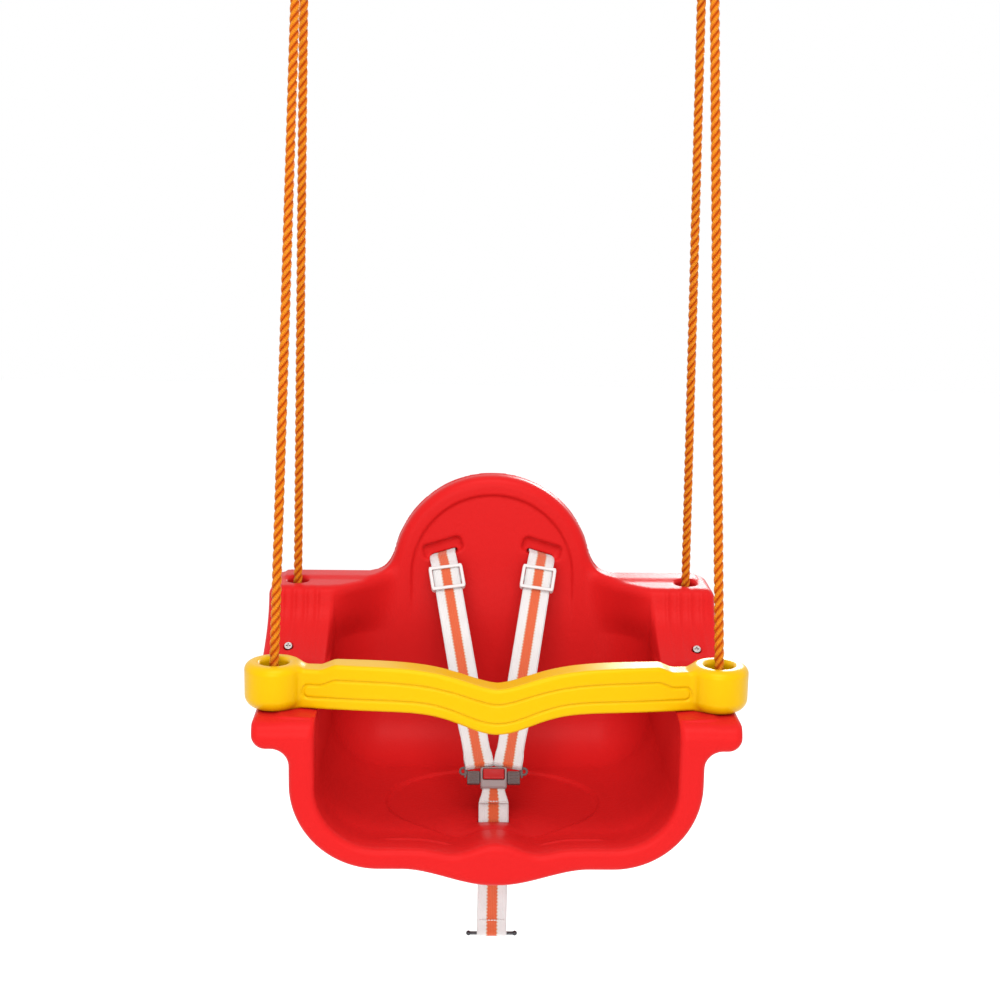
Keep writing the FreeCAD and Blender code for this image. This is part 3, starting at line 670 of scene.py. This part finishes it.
def plate_distance(ax, yb, z):
    """Dome and shoulders of the backrest, above the tub."""
    dome = np.sqrt(ax ** 2 + (z - DOME_CENTRE_Z) ** 2) - DOME_R
    shoulders = np.maximum(ax - 200.0, z - SHOULDER_Z)
    outline = smooth_min(dome, shoulders, 26.0)
    # it starts in front of the backrest's face, which the seat's hollow then cuts
    forward = 7.0
    plate = block([outline, abs(yb - BACK_IN_Y - BACK_T / 2 + forward) - BACK_T / 2 - forward], 8.0)
    seam = 1.5 * np.exp(-((yb - BACK_IN_Y - BACK_T * 0.8) / 1.5) ** 2)
    return smooth_max(plate - seam, ARM_LOW - z, 6.0)


def rope_distance(foot, top, ax, y, z):
    """Distance, on the level, from a straight rope that rises from its foot to its top."""
    t = (z - foot[2]) / (top[2] - foot[2])
    rope_x = foot[0] + t * (top[0] - foot[0])
    rope_y = foot[1] + t * (top[1] - foot[1])
    return np.sqrt((ax - rope_x) ** 2 + (y - rope_y) ** 2)


def screw_recess(ax, y, z):
    """A round recess, square to the column's sloping front, that the screw's head lies in."""
    offset = [ax - SCREW_PLACE[0], y - SCREW_PLACE[1], z - SCREW_PLACE[2]]
    along_screw = sum(d * o for d, o in zip(offset, SCREW_OUT))
    from_screw = np.sqrt(np.maximum(sum(d ** 2 for d in offset) - along_screw ** 2, 0.0))
    return np.maximum(from_screw - SCREW_RECESS_R, -along_screw)


def strap_slot(ax, yb, z):
    """A shoulder strap's tilted recess in the backrest, and the slot through its lower part."""
    along = (ax - SLOT_X) * math.cos(SLOT_TILT) - (z - SLOT_Z) * math.sin(SLOT_TILT)
    over = (ax - SLOT_X) * math.sin(SLOT_TILT) + (z - SLOT_Z) * math.cos(SLOT_TILT)
    recess = block([abs(along) - 20.0, abs(over + 0.5) - 7.5, abs(yb - BACK_IN_Y + 6.0) - 13.0], 5.0)
    slit = over + SLOT_DROP - 4.0 * ease(yb, BACK_IN_Y + 4.0, BACK_IN_Y + BACK_T)
    through = block([abs(along) - 13.2, abs(slit) - 1.8, -yb], 1.5)
    return recess, through


def cut_holes(body, ax, y, yb, z):
    route = np.array(ROPE_ROUTE) * 1000.0
    rear_rope = (route[-1], route[-2])
    for foot, top in ((route[0], route[1]), rear_rope):
        bore = rope_distance(foot, top, ax, y, z) - ROPE_BORE_R
        body = smooth_max(body, -bore, 2.0)
        from_foot = np.sqrt((ax - foot[0]) ** 2 + (y - foot[1]) ** 2)
        sink = np.maximum(from_foot - COUNTERBORE_R, z - ARM_LOW - COUNTERBORE_DEPTH)
        body = smooth_max(body, -sink, 2.0)
    mouth = np.maximum(rope_distance(*rear_rope, ax, y, z) - MOUTH_R, MOUTH_LOW_Z - z)
    body = smooth_max(body, -mouth, 3.5)
    body = smooth_max(body, -screw_recess(ax, y, z), 1.5)
    recess, through = strap_slot(ax, yb, z)
    body = smooth_max(body, -recess, 2.0)
    body = smooth_max(body, -through, 1.5)
    crotch = block([ax - 14.2, abs(y - CROTCH_Y) - 2.6, z], 2.0)
    return smooth_max(body, -crotch, 2.0)


def make_shell():
    cell = 1.6
    shell = sculpt("seat_shell_moulded", seat_distance, (-224, -52, -192), (224, 262, 126), cell, RED)
    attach(shell, "seat")
    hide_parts("seat_shell")


make_shell()


# ---------------------------------------------------------------- guard bar

BAR_TOP = 1.0
BAR_LOW = -38.5
BAR_END_X = 182.0
BAR_BOW = 12.0                                    # how far its middle lies in front of its ends
KNOB_X = 190.0
KNOB_R = 25.5
KNOB_H = 39.5
EYELET_R = 12.0


def bar_top(ax):
    """Height of the beam's top edge: it steps down near the eyelets, and has a V in the middle."""
    return BAR_TOP - 5.0 * ease(ax, 136.0, 152.0) - 18.0 * np.exp(-(ax / 43.0) ** 1.64)


def bar_low(ax):
    return BAR_LOW - 18.7 * np.exp(-(ax / 40.0) ** 2)


def bar_distance(x, y, z):
    """A bowed beam with a line cut into its faces, and an eyelet at each end."""
    ax = abs(x)
    middle = y + BAR_BOW * (1.0 - (ax / 176.0) ** 2)
    high, low = bar_top(ax), bar_low(ax)
    half = 12.0 - 1.5 * ease(ax, 100.0, 170.0)
    steep = 1.0 + 0.25 * np.exp(-((ax - 32.0) / 20.0) ** 2)
    beam = block([(z - high) / steep, (low - z) / steep, abs(middle) - half, ax - BAR_END_X], 3.2)
    beam = beam + panel_groove(ax, middle, z, high, low, half)
    from_rope = np.sqrt((ax - KNOB_X) ** 2 + y ** 2)
    upper = block([from_rope - KNOB_R, z], 7.0)
    lower = block([from_rope - KNOB_R, -KNOB_H - z], 11.0)
    knob = np.maximum(upper, lower)
    body = fillet_union(beam, knob, 4.0)
    return smooth_max(body, EYELET_R - from_rope, 4.5)


def panel_groove(ax, middle, z, high, low, half):
    """A fine line cut into the front and rear faces, following the beam's outline."""
    outline = block([z - high + 13.5, low + 10.0 - z, ax - 165.0], 5.0)
    face = ease(abs(middle), half - 5.0, half - 2.0)
    return 1.5 * np.exp(-outline ** 2) * face


def make_bar():
    cell = 0.8
    bar = sculpt("guard_bar_moulded", bar_distance, (-218, -30, -62), (218, 29, 6), cell, YELLOW)
    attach(bar, "bar")
    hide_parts("guard_bar")


make_bar()


# ---------------------------------------------------------------- harness

def buckle_frame():
    """Directions across the buckle, up its face and out of its face."""
    out = np.array([0.0, -math.cos(BUCKLE_LEAN), math.sin(BUCKLE_LEAN)])
    up = np.array([0.0, math.sin(BUCKLE_LEAN), math.cos(BUCKLE_LEAN)])
    return np.array([1.0, 0.0, 0.0]), up, out


def from_buckle(points, side=1):
    """Buckle coordinates (across, up its face, out of its face) to the row frame."""
    across, up, out = buckle_frame()
    points = np.asarray(points, float)
    sideways = np.outer(points[:, 0] * side, across)
    return row(BUCKLE + sideways + np.outer(points[:, 1], up) + np.outer(points[:, 2], out))


def waves_over(value, pitch):
    """A wave from 0 to 1 that repeats every pitch."""
    return 0.5 + 0.5 * np.cos(2 * math.pi * value / pitch)


def buckle_shell(front):
    """One half of the buckle's housing. The front half has the button's window and a ribbed lower edge."""
    def distance(x, y, z):
        body = centred_block(x, y, z, BUCKLE_HALF, 2.2)
        body = smooth_max(body, y - 9.0, 1.0)
        body = smooth_max(body, (-z if front else z) + 0.05, 0.8)
        passage = block([abs(y - 0.5) - 4.5, abs(z) - 1.6], 0.6)
        body = smooth_max(body, -passage, 0.5)
        if front:
            window = block([abs(x) - 10.1, abs(y - 2.7) - 5.2, 1.0 - z], 1.6)
            body = smooth_max(body, -window, 0.7)
            body = body + 0.3 * waves_over(y, 1.3) * ease(z, 3.5, 4.5) * (1.0 - ease(y, -5.5, -4.5))
        mouth = block([abs(x) - 11.0, y + 6.5, abs(z) - 1.3], 0.4)
        return smooth_max(body, -mouth, 0.5)
    return distance


def button_distance(x, y, z):
    """A cap with a slightly raised middle, in the window of the front half."""
    cap = block([abs(x) - 9.7, abs(y - 2.7) - 4.8, z - 6.7, 3.6 - z], 1.3)
    return cap + 0.25 * np.exp(-((x ** 2 + ((y - 2.5) * 2.0) ** 2) / 40.0))


def tongue_distance(x, y, z):
    """The right-hand tongue: ridged grip, blade, ear, and the rod that the shoulder strap goes round."""
    from_grip = abs(x - 18.2)
    grip = block([from_grip - 5.8, abs(y) - 6.0, abs(z) - 3.2], 1.2)
    ridges = 0.35 * np.cos(2 * math.pi * y / 2.6) * ease(abs(z), 2.0, 3.0) * ease(4.6 - from_grip, 0.0, 1.0)
    grip = grip - ridges
    blade = block([abs(x - 9.0) - 4.5, abs(y - 0.5) - 3.7, abs(z) - 1.0], 0.4)
    ear = np.sqrt((np.sqrt((x - 27.4) ** 2 + (y - 6.0) ** 2) - 2.9) ** 2 + z ** 2) - 1.1
    riser = block([abs(x - 25.6) - 0.9, abs(y - 7.6) - 7.6, abs(z) - 1.1], 0.5)
    carrier = block([np.sqrt((y - 14.0) ** 2 + z ** 2) - 1.4, abs(x - 13.4) - 12.6], 0.4)
    body = smooth_min(grip, blade, 0.6)
    body = smooth_min(body, ear, 1.2)
    body = smooth_min(body, riser, 1.0)
    return smooth_min(body, carrier, 0.8)


def make_buckle():
    cell = 0.4
    for cad, front in (("buckle_front", True), ("buckle_back", False)):
        shell = sculpt(cad + "_shell", buckle_shell(front), (-13, -11, -6.5), (13, 11, 6.5), cell,
                       GREY_PLASTIC, from_buckle)
        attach(shell, "seat")
        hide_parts(cad)
    button = sculpt("press_button", button_distance, (-10.5, -4, 2.6), (10.5, 9, 8), cell,
                    BUTTON_RED, from_buckle)
    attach(button, "button")
    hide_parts("buckle_button")
    for side, name in SIDES:
        def place(points, side=side):
            return from_buckle(points, side)

        tongue = sculpt("tongue_moulded_" + name, tongue_distance, (3, -8, -5), (33, 17, 5), cell,
                        DARK_PLASTIC, place)
        if side < 0:
            tongue.data.flip_normals()            # a mirrored mesh is inside out
        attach(tongue, "tongue_" + name)
        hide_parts("tongue_" + name)


make_buckle()


STRAP_COLUMNS = 15


def strap_mesh(name, centre, across, width):
    """A flat strap along a line of points in the seat's frame, with thin rounded edges."""
    centre = np.asarray(centre, float)
    across = np.asarray(across, float)
    across = across / np.linalg.norm(across, axis=1, keepdims=True)
    run = np.gradient(centre, axis=0)
    run /= np.linalg.norm(run, axis=1, keepdims=True)
    across = across - run * (across * run).sum(1, keepdims=True)
    across /= np.linalg.norm(across, axis=1, keepdims=True)
    out = np.cross(run, across)
    width = np.broadcast_to(np.asarray(width, float), len(centre))
    u = np.linspace(0.0, 1.0, STRAP_COLUMNS)
    half = STRAP_T / 2 * np.minimum(1.0, 0.35 + 9.0 * np.minimum(u, 1 - u))
    rows = len(centre)
    flat = centre[:, None] + across[:, None] * ((u - 0.5)[None, :, None] * width[:, None, None])
    top = flat + out[:, None] * half[None, :, None]
    low = flat - out[:, None] * half[None, :, None]
    points = np.concatenate([top.reshape(-1, 3), low.reshape(-1, 3)])
    index = np.arange(rows * STRAP_COLUMNS).reshape(rows, STRAP_COLUMNS)
    lower = index + rows * STRAP_COLUMNS
    faces = [np.stack([index[:-1, :-1], index[:-1, 1:], index[1:, 1:], index[1:, :-1]], -1).reshape(-1, 4),
             np.stack([lower[:-1, :-1], lower[1:, :-1], lower[1:, 1:], lower[:-1, 1:]], -1).reshape(-1, 4)]
    for column, flip in ((0, False), (STRAP_COLUMNS - 1, True)):
        side = np.stack([index[:-1, column], index[1:, column], lower[1:, column], lower[:-1, column]], -1)
        faces.append(side[:, ::-1] if flip else side)
    for line, flip in ((0, True), (rows - 1, False)):
        end = np.stack([index[line, :-1], index[line, 1:], lower[line, 1:], lower[line, :-1]], -1)
        faces.append(end if flip else end[:, ::-1])
    faces = np.concatenate(faces)[:, ::-1]
    piece = mesh_piece(name, row(points), faces, WEBBING)
    steps = np.linalg.norm(np.diff(centre, axis=0), axis=1)
    along = np.concatenate([[0.0], np.cumsum(steps)]) / STRAP_W
    grid_uv = np.stack(np.meshgrid(u, along), axis=-1).reshape(-1, 2)
    uv = np.concatenate([grid_uv, grid_uv])[faces.ravel()]
    layer = piece.data.uv_layers.new(name="UVMap")
    layer.data.foreach_set("uv", uv.astype(np.float32).ravel())
    return piece, float(along[-1] * STRAP_W)


def rounded_path(points, radius):
    """A polyline with its corners rounded, as points a millimetre apart."""
    points = [np.asarray(p, float) for p in points]
    line = [points[0]]
    for before, corner, after in zip(points, points[1:], points[2:]):
        back = before - corner
        ahead = after - corner
        reach = min(radius, 0.48 * np.linalg.norm(back), 0.48 * np.linalg.norm(ahead))
        start = corner + back / np.linalg.norm(back) * reach
        end = corner + ahead / np.linalg.norm(ahead) * reach
        for t in np.linspace(0.0, 1.0, 9):
            line.append((1 - t) ** 2 * start + 2 * t * (1 - t) * corner + t ** 2 * end)
    line.append(points[-1])
    return resample(np.array(line), 1.0)[0]


def strap_frame(side):
    """A shoulder strap's straight run: its two ends, and the directions along, across and out of it."""
    _, up, _ = buckle_frame()
    head = np.array([side * SLOT_X, back_y(SLOT_Z) - 4.0, SLOT_Z - 3.0])
    foot = BUCKLE + up * (BUCKLE_HALF[1] + 4.0) + np.array([side * 13.5, 0.0, 0.0])
    along = (foot - head) / np.linalg.norm(foot - head)
    lateral = np.array([1.0, 0.0, 0.0]) - along * along[0]
    lateral /= np.linalg.norm(lateral)
    return head, foot, along, lateral, np.cross(along, lateral)


def shoulder_strap(side, name):
    """From its rod behind the backrest, out of the slot, down, and round its tongue's rod."""
    head, foot, along, lateral, out = strap_frame(side)
    rear = back_y(SLOT_Z) + BACK_T + 3.8
    anchor = np.array([side * SLOT_X, rear, head[2]])
    slit = np.array([head[0], back_y(SLOT_Z), SLOT_Z - SLOT_DROP])
    path = [anchor + [0, 2.4, -10.0], anchor + [0, 2.8, 0.0], anchor + [0, 0, 3.0],
            anchor + [0, -8.0, -0.4], slit + [0, 6.0, 0.4], slit + [0, -1.0, -0.2],
            head + along * 16.0 + out * 0.5]
    run = np.linalg.norm(foot - head)
    steps = 14
    for step in range(2, steps):
        t = 0.94 * step / steps
        path.append(head + along * (t * run) - out * (STRAP_SAG * math.sin(math.pi * t)))
    path += [foot - along * 11.0 + out * 1.2, foot + along * 4.0 + out * 5.6,
             foot + along * 5.2 - out * 1.0, foot - along * 4.0 - out * 2.6,
             foot - along * 26.0 - out * (1.9 + 0.3 * STRAP_SAG)]
    line = rounded_path(path, 2.5)
    across = np.tile(lateral, (len(line), 1))
    behind = np.clip((line[:, 1] - head[1] + 6.0) / 8.0, 0.0, 1.0)[:, None]
    tilt = np.array([math.cos(SLOT_TILT), 0.0, -side * math.sin(SLOT_TILT)])
    across = across * (1 - behind) + tilt * behind
    from_foot = np.linalg.norm(line - foot, axis=1)
    width = STRAP_W - 1.5 * ease(from_foot, 6.0, 14.0) * (1.0 - ease(from_foot, 20.0, 40.0))
    strap, length = strap_mesh("shoulder_webbing_" + name, line, across, width)
    start, end = (tuple(row(foot - along * distance)) for distance in STRAP_BEND)
    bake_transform(strap)
    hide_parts("shoulder_strap_" + name, "strap_end_" + name)


def crotch_strap():
    """From its folded end round the buckle's mouth, down through the seat, and round its stop bar."""
    _, up, out = buckle_frame()
    mouth = BUCKLE - up * (BUCKLE_HALF[1] - 2.0)
    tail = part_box("crotch_stop")
    tail_z = (tail[0].z + tail[1].z) / 2 * 1000 - ORIGIN[2]
    path = [mouth - up * 15.5 + out * 3.6, mouth - up * 4.0 + out * 2.4, mouth + up * 1.2 + out * 1.0,
            mouth + up * 0.8 - out * 0.6, mouth - up * 6.0 - out * 0.4]
    # how far each point below the buckle lies behind the slot, and its height
    hanging = [(5.0, FLOOR_Z + 8.0), (-1.0, FLOOR_Z - 4.0), (0.5, -210.0),
               (-0.6, tail_z + 12.0), (-2.6, tail_z), (0.0, tail_z - 2.6), (2.6, tail_z),
               (1.4, tail_z + 12.0), (2.2, tail_z + 24.0)]
    path += [np.array([0.0, CROTCH_Y + behind, height]) for behind, height in hanging]
    line = rounded_path(path, 5.0)
    across = np.tile([1.0, 0.0, 0.0], (len(line), 1))
    widening = ease(np.linalg.norm(line - mouth, axis=1), 3.0, 17.0)
    width = CROTCH_NARROW_W + (STRAP_W + 1.0 - CROTCH_NARROW_W) * widening
    strap, length = strap_mesh("crotch_webbing", line, across, width)
    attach(strap, "seat")
    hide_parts("crotch_strap")
    stitch_row("tail_stitches", (0.0, CROTCH_Y - 1.7, tail_z + 13.5), STRAP_W / 2 - 1.0)
    fold = mouth - up * 13.8 + out * 4.4
    stitch_row("fold_stitches", tuple(fold), STRAP_W / 2 - 1.2)


STITCHES = 9
BOX_FACES = ((0, 1, 3, 2), (4, 6, 7, 5), (0, 4, 5, 1), (2, 3, 7, 6), (0, 2, 6, 4), (1, 5, 7, 3))


def stitch_row(name, centre, half_width):
    """A row of short threads across the crotch strap's front face."""
    points, faces = [], []
    pitch = 2 * half_width / STITCHES
    corners = [(i, j, k) for i in (-1, 1) for j in (-1, 1) for k in (-1, 1)]
    for stitch in range(STITCHES):
        x = centre[0] - half_width + pitch * (stitch + 0.5)
        start = len(points)
        points += [(x + i * pitch * 0.36, centre[1] + j * 0.35, centre[2] + k * 0.4) for i, j, k in corners]
        faces += [[start + corner for corner in face] for face in BOX_FACES]
    threads = mesh_piece(name, row(np.array(points)), np.array(faces), WHITE_PLASTIC, smooth=False)
    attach(threads, "seat")


def adjuster_distance(x, y, z):
    """Three-bar slide: y is along the strap and z out of its face."""
    rim = block([block([abs(x) - 16.6, abs(y) - 13.0], 3.6), abs(z) - 3.3], 1.0)
    window = block([abs(x) - 13.5, abs(y) - 14.0, abs(z) - 9.0], 1.2)
    rails = smooth_max(rim, -window, 0.8)
    bars = block([abs(x) - 16.0, abs(abs(y) - 11.4) - 1.6, abs(z - 2.3) - 1.0], 0.8)
    rear = block([abs(x) - 15.5, abs(y) - 2.2, abs(z + 2.3) - 1.0], 0.8)
    return smooth_min(smooth_min(rails, bars, 0.8), rear, 0.6)


def make_adjusters():
    cell = 0.45
    for side, name in SIDES:
        head, _, along, lateral, out = strap_frame(side)
        place = head + along * ADJUSTER_DOWN

        def to_row(points, lateral=lateral, along=along, out=out, place=place):
            return row(place + points[:, :1] * lateral + points[:, 1:2] * along + points[:, 2:] * out)

        slide = sculpt("strap_adjuster_" + name, adjuster_distance, (-18, -14.5, -4.5), (18, 14.5, 4.5),
                       cell, WHITE_PLASTIC, to_row)
        slide.data.flip_normals()                 # its three directions are left-handed
        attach(slide, "adjuster_" + name)
        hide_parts("adjuster_" + name)


for side, name in SIDES:
    shoulder_strap(side, name)
crotch_strap()
make_adjusters()


# ---------------------------------------------------------------- finishes of the CAD pieces that stay

FINISHES = {"ring_left": ZINC, "ring_right": ZINC, "thimble_left": NYLON, "thimble_right": NYLON,
            "rope_washers": ZINC, "column_screws": SCREW_STEEL, "strap_stop_left": DARK_STEEL,
            "strap_stop_right": DARK_STEEL, "crotch_stop": DARK_STEEL, "buckle_spring": SPRING_STEEL}
for node_name, finish in FINISHES.items():
    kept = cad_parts[node_name]
    kept.material_slots[0].link = "OBJECT"
    kept.material_slots[0].material = finish


# ---------------------------------------------------------------- stage and lights

FLOOR_BELOW = 0.45                                # from the hanging seat, in metres
FLOOR_HALF = 7.0


def make_floor():
    z = cad_box[0].z - FLOOR_BELOW
    corners = [(FLOOR_HALF * i, FLOOR_HALF * j, z) for i, j in ((-1, -1), (1, -1), (1, 1), (-1, 1))]
    data = bpy.data.meshes.new("studio_floor")
    data.from_pydata(corners, [], [(0, 1, 2, 3)])
    material, _, shader = new_material("studio_white")
    shader.inputs["Base Color"].default_value = (1.0, 1.0, 1.0, 1.0)
    shader.inputs["Roughness"].default_value = 0.9
    data.materials.append(material)
    floor = bpy.data.objects.new("studio_floor", data)
    bpy.context.scene.collection.objects.link(floor)


def area_light(name, place, target, size, power):
    data = bpy.data.lights.new(name, "AREA")
    data.shape = "RECTANGLE"
    data.size, data.size_y = size
    data.energy = power
    light = bpy.data.objects.new(name, data)
    aim = Vector(target) - Vector(place)
    turn = aim.to_track_quat("-Z", "Y").to_matrix().to_4x4()
    light.matrix_world = Matrix.Translation(Vector(place)) @ turn
    bpy.context.scene.collection.objects.link(light)
    light.visible_camera = False


def make_lights():
    """A white surround, a key in front, a wide light above, and one behind for the guard bar's top."""
    centre = row([0.0, 80.0, -40.0])
    world = bpy.data.worlds.new("studio")
    bpy.context.scene.world = world
    world.use_nodes = True
    background = world.node_tree.nodes["Background"]
    background.inputs["Color"].default_value = (1.0, 1.0, 1.0, 1.0)
    background.inputs["Strength"].default_value = 1.0
    area_light("key", centre + [-0.25, -2.2, 0.60], centre, (1.5, 1.1), 24.0)
    area_light("overhead", centre + [0.0, -1.1, 1.8], centre + [0.0, -0.05, -0.05], (1.4, 1.2), 28.0)
    area_light("rear_right", centre + [0.62, 1.9, 0.62], centre, (0.6, 0.34), 14.0)


make_floor()
make_lights()
bpy.context.scene.view_settings.view_transform = "Standard"
